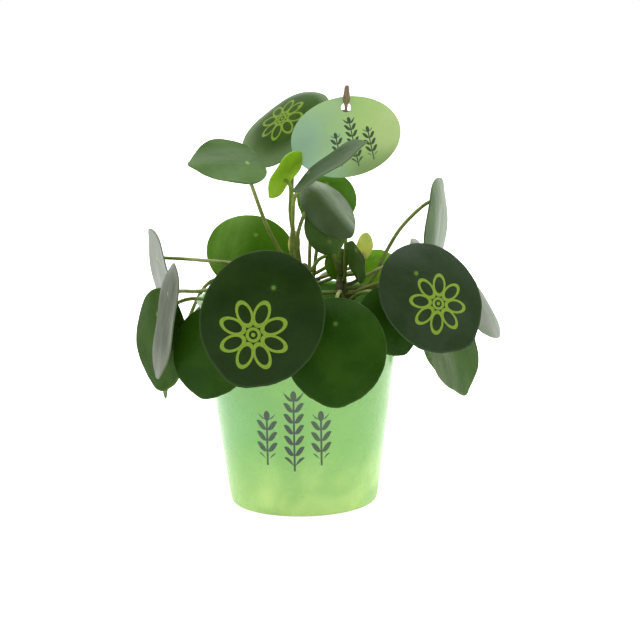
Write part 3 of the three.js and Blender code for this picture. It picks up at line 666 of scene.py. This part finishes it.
def leaf_material(name, deep, fresh, vein=(0.12, 0.20, 0.06), dot=(0.20, 0.30, 0.09),
                  rim=(0.10, 0.18, 0.05), through=(0.08, 0.24, 0.02), share_through=0.12, rough=0.4,
                  gloss=0.12, printed=False, silver=None, pale_edge=None):
    """A blade's face: its colours, the light that comes through it, how glossy it is and any painted sheen.
    """
    material, tree = new_material(name)

    spread = add(tree, "UVMap", uv_map="blade")
    blade = add(tree, "Mapping", {"Vector": spread, "Location": (-50, -50, 0), "Scale": (100, 100, 0)})
    ring = axis(tree, add(tree, "UVMap", uv_map="ring"))
    pattern = use_group(tree, veins, {"Blade": blade, "Ring": ring})
    place = add(tree, "TexCoord", out="Object")
    mottle = noise(tree, place, 45.0, 3.0, 0.55)
    speck = noise(tree, place, 900.0)
    colour = blend(tree, ease(tree, mottle, 0.33, 0.68), deep, fresh)
    # Painted sheen: a band of silvery streaks that stands in for light glancing off the blade.
    if silver:
        across, half, tint = silver
        streaks = use_group(tree, painted_sheen, {"Blade": blade, "Across": across, "Half": half})["Mask"]
        colour = blend(tree, streaks, colour, tint)
    # Painted sheen along the rim, where the blade curves away and catches the light.
    if pale_edge:
        colour = blend(tree, ease(tree, ring, 0.6, 1.0, 0.0, 0.85), colour, pale_edge)
    colour = blend(tree, times(tree, pattern["Net"], 0.05), colour, vein)
    colour = blend(tree, times(tree, pattern["Veins"], 0.06), colour, vein)
    colour = blend(tree, times(tree, ease(tree, speck, 0.6, 0.75), 0.1), colour, vein)
    colour = blend(tree, times(tree, pattern["Rim"], 0.4), colour, rim)
    colour = blend(tree, pattern["Dot"], colour, dot)
    rise = plus(tree, pattern["Relief"], times(tree, speck, 0.08))
    if printed:
        flower = add(tree, "Mapping", {"Vector": add(tree, "UVMap", uv_map="print"),
                                       "Location": (-2, -2, 0), "Scale": (4, 4, 0)})
        mask = use_group(tree, daisy, {"Vector": flower})["Mask"]
        worn = times(tree, mask, ease(tree, speck, 0.2, 0.8, 1.0, 0.75))
        colour = blend(tree, worn, colour, (0.19, 0.30, 0.03))
        rise = minus(tree, rise, times(tree, mask, 0.15))
    normal = bump(tree, rise, 0.35, 0.001)
    skin = coat(tree, colour, ease(tree, mottle, 0.3, 0.7, rough - 0.05, rough + 0.06), normal, gloss)
    thin = calc(tree, "MAXIMUM", times(tree, pattern["Veins"], 0.5), pattern["Rim"])
    glow = blend(tree, thin, through, (through[0] * 1.5, through[1] * 1.2, through[2] * 1.5))
    glow = blend(tree, ease(tree, mottle, 0.3, 0.7), glow, [0.8 * c for c in through])
    lit = add(tree, "BsdfTranslucent", {"Color": glow, "Normal": normal})
    surface(tree, add(tree, "MixShader", {0: share_through, 1: skin, 2: lit}))
    return material


def stalk_material(name, deep, fresh, foot, share_through):
    """A stalk's skin, darker at its foot and paler where it meets the blade."""
    material, tree = new_material(name)
    place = add(tree, "TexCoord", out="Object")
    far = axis(tree, add(tree, "UVMap", uv_map="ring"))
    mottle = noise(tree, place, 160.0, 3.0)
    colour = blend(tree, ease(tree, mottle, 0.3, 0.7), deep, fresh)
    blush = times(tree, ease(tree, far, 0.55, 0.0), ease(tree, mottle, 0.25, 0.75, 0.4, 1.0))
    colour = blend(tree, blush, colour, foot)
    colour = blend(tree, ease(tree, far, 0.9, 1.0), colour, (0.30, 0.38, 0.11))
    normal = bump(tree, mottle, 0.3, 0.0004)
    stalk = coat(tree, colour, ease(tree, mottle, 0.3, 0.7, 0.35, 0.5), normal)
    glow = blend(tree, mottle, (0.3, 0.4, 0.05), (0.4, 0.5, 0.1))
    lit = add(tree, "BsdfTranslucent", {"Color": glow})
    surface(tree, add(tree, "MixShader", {0: share_through, 1: stalk, 2: lit}))
    return material


old_stalk = stalk_material(
    "stalk_skin", (0.19, 0.25, 0.045), (0.34, 0.40, 0.115), (0.13, 0.155, 0.035), 0.25)
new_stalk = stalk_material(
    "fresh_stalk_skin", (0.22, 0.34, 0.03), (0.34, 0.46, 0.07), (0.20, 0.29, 0.035), 0.4)
grown_under = leaf_material(
    "grown_leaf_under", (0.075, 0.15, 0.040), (0.105, 0.19, 0.050), vein=(0.14, 0.24, 0.07),
    dot=(0.18, 0.28, 0.09), rim=(0.12, 0.20, 0.06), share_through=0.14, rough=0.55, gloss=0.3)
young_under = leaf_material(
    "young_leaf_under", (0.32, 0.46, 0.04), (0.38, 0.52, 0.06), vein=(0.42, 0.56, 0.10),
    dot=(0.50, 0.60, 0.12), rim=(0.36, 0.50, 0.06), through=(0.66, 0.76, 0.07), share_through=0.5,
    rough=0.5, gloss=0.3)


def old_skin(name, deep, fresh, **looks):
    """The materials of a grown leaf: its upper face, its underside and its stalk."""
    return leaf_material(name + "_leaf_upper", deep, fresh, **looks), grown_under, old_stalk


def new_skin(name, deep, fresh, **looks):
    """The same of a young leaf."""
    return leaf_material(name + "_leaf_upper", deep, fresh, **looks), young_under, new_stalk


# Most skins below are copies of one grown leaf's skin, each matched to the light where its leaves hang:
# their colours paint in light and shade, darker for leaves in shade and paler for leaves the light shines
# through or glances off, and their silver bands and pale edges are painted sheen.
DARK = {"dot": (0.10, 0.20, 0.03), "through": (0.03, 0.12, 0.01), "share_through": 0.06}
DULL = {"vein": (0.07, 0.09, 0.05), "rim": (0.10, 0.14, 0.06), "through": (0.05, 0.12, 0.02),
        "share_through": 0.08, "gloss": 0.02}
SHEEN = {"vein": (0.14, 0.20, 0.09), "rim": (0.12, 0.18, 0.08), "through": (0.06, 0.15, 0.03),
         "share_through": 0.08}
dark_skin = old_skin(
    "dark", (0.013, 0.046, 0.002), (0.022, 0.066, 0.003), vein=(0.03, 0.07, 0.01),
    dot=(0.10, 0.20, 0.03), rim=(0.05, 0.10, 0.02), through=(0.06, 0.27, 0.008), gloss=0.08)
print_skin = old_skin(
    "printed", (0.008, 0.023, 0.002), (0.012, 0.032, 0.003), vein=(0.025, 0.05, 0.01),
    rim=(0.05, 0.08, 0.03), gloss=0.08, printed=True, **DARK)
cool_skin = old_skin(
    "cool", (0.012, 0.030, 0.006), (0.022, 0.040, 0.016), vein=(0.03, 0.055, 0.02),
    rim=(0.06, 0.09, 0.04), printed=True, **DARK)
olive_skin = old_skin(
    "olive", (0.034, 0.074, 0.010), (0.054, 0.108, 0.022), vein=(0.07, 0.12, 0.03),
    dot=(0.20, 0.30, 0.07), rim=(0.14, 0.22, 0.03), through=(0.19, 0.42, 0.02), share_through=0.28,
    gloss=0.02)
grown_skin = old_skin(
    "grown", (0.060, 0.127, 0.020), (0.096, 0.186, 0.036), dot=(0.22, 0.34, 0.08),
    share_through=0.14, gloss=0.15)
arched_skin = old_skin(
    "arched", (0.021, 0.056, 0.003), (0.038, 0.086, 0.008), vein=(0.10, 0.17, 0.05),
    dot=(0.24, 0.36, 0.08), rim=(0.12, 0.20, 0.06), through=(0.20, 0.36, 0.06), share_through=0.22,
    gloss=0.05, printed=True, pale_edge=(0.155, 0.225, 0.10))
creased_skin = old_skin(
    "creased", (0.046, 0.112, 0.016), (0.076, 0.156, 0.030), dot=(0.26, 0.36, 0.12),
    silver=(-6, 9, (0.090, 0.148, 0.060)))
folded_skin = old_skin(
    "folded", (0.034, 0.085, 0.010), (0.052, 0.112, 0.018), vein=(0.08, 0.14, 0.04),
    dot=(0.22, 0.34, 0.08), rim=(0.16, 0.22, 0.06), silver=(-18, 19, (0.14, 0.19, 0.10)))
dusky_skin = old_skin(
    "dusky", (0.022, 0.038, 0.008), (0.036, 0.053, 0.018),
    silver=(0, 60, (0.075, 0.090, 0.057)), pale_edge=(0.15, 0.165, 0.125), **DULL)
tall_skin = old_skin(
    "tall", (0.022, 0.044, 0.011), (0.036, 0.062, 0.021),
    silver=(0, 60, (0.058, 0.090, 0.045)), pale_edge=(0.095, 0.132, 0.078), **DULL)
ridged_skin = old_skin(
    "ridged", (0.052, 0.092, 0.028), (0.080, 0.126, 0.046), vein=(0.07, 0.10, 0.05),
    dot=(0.08, 0.13, 0.04), rim=(0.14, 0.18, 0.10), through=(0.05, 0.12, 0.02), share_through=0.08,
    gloss=0.2, silver=(8.5, 9, (0.31, 0.38, 0.27)))
streaked_skin = old_skin(
    "streaked", (0.034, 0.085, 0.016), (0.055, 0.115, 0.028), gloss=0.15,
    silver=(6, 24, (0.245, 0.29, 0.215)), **SHEEN)
sheen_lit_skin = old_skin(
    "sheen_lit", (0.060, 0.085, 0.040), (0.080, 0.108, 0.056), gloss=0.2,
    silver=(0, 60, (0.168, 0.194, 0.150)), **SHEEN)
silver_skin = old_skin(
    "silver", (0.060, 0.105, 0.035), (0.090, 0.145, 0.050), dot=(0.22, 0.34, 0.08), gloss=0.8,
    silver=(0, 60, (0.16, 0.18, 0.14)), **SHEEN)
backlit_skin = new_skin(
    "backlit", (0.050, 0.138, 0.006), (0.085, 0.195, 0.014), vein=(0.14, 0.26, 0.04),
    dot=(0.40, 0.62, 0.12), rim=(0.16, 0.28, 0.05), through=(0.22, 0.50, 0.02), share_through=0.4,
    gloss=0.25, silver=(-16, 17, (0.17, 0.32, 0.06)))
young_skin = new_skin(
    "young", (0.15, 0.36, 0.020), (0.21, 0.45, 0.036), vein=(0.24, 0.44, 0.06),
    dot=(0.40, 0.62, 0.12), rim=(0.24, 0.42, 0.06), through=(0.42, 0.84, 0.05), share_through=0.4,
    gloss=0.3)
bud_skin = new_skin(
    "bud", (0.84, 0.92, 0.34), (0.90, 0.96, 0.42), vein=(0.9, 0.95, 0.45),
    dot=(0.9, 0.95, 0.45), rim=(0.85, 0.9, 0.4), through=(1.0, 1.0, 0.45), share_through=0.6, gloss=0.4)

grow_leaf("leaf_front_large", "stem_main", 138, [(10, -30, 142), (-8, -68, 150)], (-16, -94, 155), -6, 7,
          -23, 86, 75, print_skin, dome=6, print_at=(-0.6, 31, 21.5))
grow_leaf("leaf_front_right", "stem_main", 132, [(25, -30, 142), (22, -66, 141)], (21, -80, 130), -8, 18,
          0, 68, 62, dark_skin, dome=5)
grow_leaf("leaf_right_large", "stem_main", 136, [(42, -14, 142), (60, -40, 152)], (71, -66, 158), 19, 21,
          34, 75, 64, cool_skin, dome=6, print_at=(-1, 23, 18.5))
grow_leaf("leaf_right_low", "stem_main", 130, [(38, -30, 141), (46, -44, 143)], (51, -56, 137), 23, 14,
          24, 46, 38, dark_skin)
grow_leaf("leaf_low_left", "stem_left", 130, [(-20, -24, 140), (-42, -48, 140), (-50, -57, 134)],
          (-54, -60, 125), -24, 14, -8, 59, 54, dark_skin, dome=4)


# ------------------------------------------------------------------ the leaves to the right
# Grown leaves on long arching stalks that stand out to the right, most of them seen nearly
# edge-on, with the silvery sheen that glances off their skin painted in. One is folded along its midrib.

grow_leaf("leaf_right_folded", "stem_main", 140, [(62, -14, 142), (80, -22, 132)], (92, -34, 122.5), 46, 18,
          7, 63, 48, folded_skin, dome=5, droop=0, fold=-3, point=0.12)
grow_leaf("leaf_right_pale", "stem_main", 134, [(44, -3, 139), (76, -5, 147)], (114, -12, 137), 64, 28,
          24, 46, 35, silver_skin, dome=4, fold=2)
grow_leaf("leaf_right_upright", "stem_main", 136, [(47, 8, 144), (56, 10, 161), (68, 12, 179)],
          (93, 15, 191), 71, -3, 2, 72, 54, streaked_skin)
grow_leaf("leaf_right_far", "stem_back", 140, [(30, 42, 146), (58, 54, 152)], (81, 60, 157), 70, 16, 8,
          31, 30, silver_skin)
grow_leaf("leaf_behind_right", "stem_back", 144, [(28, 31, 154)], (50, 22, 155), 0, 15, 4, 28, 30,
          young_skin, dome=2)


# ------------------------------------------------------------------ the leaves to the left
# Grown leaves that stand out to the left, two of them edge-on, and a younger one behind them
# that the light shines through.

grow_leaf("leaf_left_broad", "stem_left", 134, [(-36, -20, 140), (-55, -31, 139), (-70, -28, 139)],
          (-93, 0, 125), -55, 4, 0, 68, 62, olive_skin)
grow_leaf("leaf_left_silver", "stem_left", 142, [(-40, -14, 145), (-64, -29, 144)], (-83, -38, 144), -77,
          11, -12, 77, 65, dusky_skin, dome=1.4, point=0.03)
grow_leaf("leaf_left_high", "stem_left", 148, [(-40, 14, 155), (-64, 24, 156.5)], (-96, 52, 155), -73, -11,
          -10, 82, 56, sheen_lit_skin, dome=0.4, arrive=-15)
grow_leaf("leaf_left_small", "stem_back", 131, [(-28, 44, 138), (-60, 40, 140)], (-88.5, 25, 99), -70, 14,
          4, 45, 22, grown_skin, taper=0.4, point=0.1)
grow_leaf("leaf_backlit", "stem_back", 142, [(-9, 42, 150), (-22, 50, 163)], (-29, 38, 171), 0, 16, -16,
          53, 60, backlit_skin)


# ------------------------------------------------------------------ the high leaves
# Leaves on tall stalks that rise over the rest, turned every way. The largest is arched like a
# shell, and the youngest is bright green, still folded and seen from below.

grow_leaf("leaf_high_left", "stem_left", 146, [(-18, -8, 176), (-29, -20, 208)], (-32, -25, 224), 43, 47,
          -100, 54.5, 40, creased_skin, dome=0.6, droop=8, fold=-2, point=0.1, taper=0.42)
grow_leaf("leaf_high_dome", "stem_left", 154, [(-4, 8, 180), (-4, 18, 210), (-1, 28, 242)], (2, 24, 256),
          -44, 45, -36, 72, 59, arched_skin, dome=7, print_at=(-2, 14, 17))
grow_leaf("leaf_young_bright", "stem_left", 152, [(-1.7, -3, 164), (-5.5, -16, 190)], (-9, -31.5, 214),
          -120, 27, 131, 34, 35, young_skin, dome=0.4, droop=4, fold=2)
grow_leaf("leaf_high_front", "stem_left", 140, [(-5, -8, 160), (-4, -18, 186), (-2, -34, 204)],
          (6.5, -47.5, 218.8), -81, 52, 151, 56, 48, tall_skin, dome=2.8, droop=3.6, fold=-1.3, point=0.1,
          approach=2)
grow_leaf("leaf_high_sheen", "stem_left", 148, [(0, -3, 158), (-1, -12, 176), (4, -18, 192)],
          (10, -21, 203), -11, 23, 44, 47, 26, ridged_skin, dome=6)
grow_leaf("leaf_high_back", "stem_main", 146, [(29, -6, 156), (29, -3, 178)], (18, -6, 208), 10, 20, 0,
          37, 39, backlit_skin)
grow_leaf("leaf_high_small", "stem_main", 150, [(22, -14, 162)], (19, -21, 173), 0, 10, -158, 33, 25,
          grown_skin)


# ------------------------------------------------------------------ the small leaves inside
# Small leaves close to the stems, on the shortest stalks. Two of them are still folded buds that
# stand upright beside the growing tips.

grow_leaf("leaf_bud_right", "stem_main", 148, [(42, 10, 150)], (42, 12, 161), 10, 0, 170, 18, 11,
          bud_skin, dome=1)
grow_leaf("leaf_inner_right", "stem_main", 156, [], (36, -6, 165), 64, 20, 0, 28, 22, olive_skin, dome=2)
grow_leaf("leaf_inner_left", "stem_left", 150, [(13, 9, 158)], (24.5, 9, 160), 20, 0, 0, 22, 16,
          backlit_skin, dome=2)
grow_leaf("leaf_bud_left", "stem_left", 150, [(-4, 13, 154)], (-4, 14, 164), -10, 0, 175, 16, 8,
          bud_skin, dome=1)


# ------------------------------------------------------------------ the leaves behind
# The plant is as full behind as in front: six leaves hang over the rim or stand out behind it, and
# two stand higher.

grow_leaf("leaf_rear_far_right", "stem_main", 142, [(44, 2, 148), (58, 7, 153), (76, 24, 146)],
          (90, 32, 116), 110, 8, 0, 54, 46, grown_skin)
grow_leaf("leaf_rear_right", "stem_back", 136, [(30, 50, 142), (50, 66, 142)], (68, 79, 128), 140, 10, 0,
          50, 46, grown_skin)
grow_leaf("leaf_rear_middle_right", "stem_back", 132, [(16, 56, 141), (26, 72, 138)], (34, 84, 114), 165,
          8, -6, 60, 54, grown_skin, dome=4)
grow_leaf("leaf_rear_middle", "stem_back", 138, [(2, 62, 143), (0, 84, 138)], (-2, 98, 118), 180, 12, 8,
          62, 54, grown_skin, dome=4)
grow_leaf("leaf_rear_left", "stem_back", 135, [(-20, 48, 140), (-46, 54, 139)], (-60, 72, 112), -140, 8,
          4, 58, 54, grown_skin, dome=4)
grow_leaf("leaf_rear_high_left", "stem_back", 144, [(-12, 56, 155), (-26, 62, 161)], (-36, 66, 162), -160,
          12, -6, 50, 48, grown_skin)
grow_leaf("leaf_rear_high", "stem_back", 146, [(8, 42, 172)], (18, 56, 196), 172, 24, 0, 38, 35,
          grown_skin)
grow_leaf("leaf_rear_top", "stem_back", 139, [(11, 28, 160), (15, 32, 184), (24, 36, 218)], (34, 44, 246),
          150, 34, 0, 42, 38, grown_skin)


# ------------------------------------------------------------------ the card
# A die-cut oval card of coated board, printed with the same wash and sprigs as the pot, with a
# punched hole near its top. It leans back a little and hangs by the hole from the pick's neck.

CARD_HALF_WIDTH = 35
CARD_HALF_HEIGHT = 25.75
CARD_THICKNESS = 0.8
CARD_SIDES = 96
CARD_HOLE_AT = (31, -12, 257)
CARD_HOLE_RADIUS = 3.1
CARD_HOLE_DROP = 7.4
CARD_HOLE_OFFSET = 4
CARD_LEAN = 16
CARD_SWING = 11

bm = bmesh.new()
card_middle = (-CARD_HOLE_OFFSET * MM, (CARD_HOLE_DROP - CARD_HALF_HEIGHT) * MM, 0)
bmesh.ops.create_circle(bm, segments=CARD_SIDES, radius=1, matrix=(
    Matrix.Translation(card_middle) @ Matrix.Diagonal((CARD_HALF_WIDTH * MM, CARD_HALF_HEIGHT * MM, 1, 1))))
bmesh.ops.create_circle(bm, segments=CARD_SIDES, radius=CARD_HOLE_RADIUS * MM)
face = bmesh.ops.bridge_loops(bm, edges=bm.edges[:])["faces"]
made = bmesh.ops.extrude_face_region(bm, geom=face, use_keep_orig=True)["geom"]
back = [part for part in made if isinstance(part, bmesh.types.BMVert)]
bmesh.ops.translate(bm, verts=back, vec=(0, 0, CARD_THICKNESS * MM))
bmesh.ops.translate(bm, verts=bm.verts, vec=(0, 0, -CARD_THICKNESS / 2 * MM))
bmesh.ops.recalc_face_normals(bm, faces=bm.faces)
sharp = [line for line in bm.edges if abs(line.link_faces[0].normal.dot(line.link_faces[1].normal)) < 0.5]
bmesh.ops.bevel(bm, geom=sharp, offset=0.15 * MM, segments=2, profile=0.5, affect="EDGES", material=-1)
spread = bm.loops.layers.uv.new("print")
for face in bm.faces:
    for loop in face.loops:
        loop[spread].uv = (0.5 + loop.vert.co.x * 10, 0.5 + loop.vert.co.y * 10)
bmesh.ops.transform(bm, verts=bm.verts, matrix=(
    Matrix.Translation(Vector(CARD_HOLE_AT) * MM) @ Matrix.Rotation(math.radians(90 - CARD_LEAN), 4, "X")
    @ Matrix.Rotation(math.radians(CARD_SWING), 4, "Z")))

board, tree = new_material("printed_board")
flat = add(tree, "Mapping", {"Vector": add(tree, "UVMap", uv_map="print"), "Location": (-50, -50, 0),
                             "Scale": (100, 100, 0)})
across = axis(tree, flat)
upwards = axis(tree, flat, 1)
blots, spots, tide = use_group(tree, wash, {"Vector": flat, "Scale": 0.035})
ran = plus(tree, across, times(tree, blots, 12.0))
colour = blend(tree, ease(tree, ran, -30.0, 18.0), (0.25, 0.42, 0.28), (0.30, 0.46, 0.135))
colour = blend(tree, ease(tree, ran, 12.0, 38.0), colour, (0.38, 0.49, 0.19))
colour = blend(tree, times(tree, spots, 0.2), colour, (0.34, 0.50, 0.22))
colour = blend(tree, times(tree, tide, 0.1), colour, (0.20, 0.38, 0.15))
# Painted shadow: the lower middle of the card is darkened where the leaf in front shades it.
painted_leaf_shadow = times(tree, ease(tree, upwards, -24.0, -42.0), ease(tree, across, -18.0, 4.0))
colour = blend(tree, painted_leaf_shadow, colour, (0.17, 0.26, 0.085))
small = add(tree, "Mapping", {"Vector": flat, "Location": (0, 38.8, 0), "Scale": (1.65, 1.65, 1)})
colour = blend(tree, use_group(tree, sprigs, {"Vector": small})["Mask"], colour, (0.028, 0.060, 0.024))
grit = noise(tree, flat, 3.0, 3.0)
normal = bump(tree, grit, 0.12, 0.0003)
surface(tree, coat(tree, colour, ease(tree, grit, 0.3, 0.7, 0.34, 0.46), normal))
card = finish_piece("card_printed", bm, [board], "card", "card")
for face in card.data.polygons:
    face.use_smooth = face.area < 2e-7


# ------------------------------------------------------------------ the pick
# A slim birch pick, turned round and thinned to a neck for the card's hole, with a flat spindle
# head above it. Its pointed foot is pushed into the soil.

PICK_FOOT = Vector((23, 40, 100))
PICK_RADIUS = 1.3
PICK_SIDES = 24
HEAD_FLATTENED = 0.55  # the share that its thickness loses

neck = (Vector(CARD_HOLE_AT) - PICK_FOOT).length
neck_and_head = [(PICK_RADIUS, -20), (1.2, -15), (1.02, -9), (0.95, -5), (0.95, 0), (1.25, 1.7), (1.9, 3.8),
                 (2.3, 5.2), (2.4, 6.2), (2.25, 8), (1.75, 11.2), (1.2, 14), (0.95, 14.6), (0, 14.8)]
bm = bmesh.new()
pick_profile = [(0, -4), (0.7, -2), (1.15, -0.5), (PICK_RADIUS, 0.6)]
pick_profile += [(PICK_RADIUS, z) for z in range(8, int(neck) - 20, 8)]
pick_profile += [(radius, neck + z) for radius, z in neck_and_head]
turn_profile(bm, pick_profile, PICK_SIDES)
for point in bm.verts:
    flat_share = min(1, max(0, (point.co.z / MM - neck) / 3))
    point.co.y *= 1 - HEAD_FLATTENED * flat_share
bmesh.ops.transform(bm, verts=bm.verts, matrix=(
    Matrix.Translation(PICK_FOOT * MM)
    @ (Vector(CARD_HOLE_AT) - PICK_FOOT).to_track_quat("Z", "Y").to_matrix().to_4x4()))

birch, tree = new_material("birch_wood")
place = add(tree, "TexCoord", out="Object")
streaks, pores = use_group(tree, grain, {"Vector": place, "Scale": 1300.0})
colour = blend(tree, streaks, (0.11, 0.085, 0.040), (0.225, 0.178, 0.088))
colour = blend(tree, times(tree, pores, 0.5), colour, (0.07, 0.045, 0.025))
tip_height = axis(tree, place, 2)
colour = blend(tree, ease(tree, tip_height, 0.2697, 0.2712), colour, (0.07, 0.05, 0.03))
normal = bump(tree, streaks, 0.5, 0.0002)
surface(tree, coat(tree, colour, ease(tree, streaks, 0.0, 1.0, 0.75, 0.6), normal, 0.35))
finish_piece("pick_turned", bm, [birch], "pick_wood", "pick")
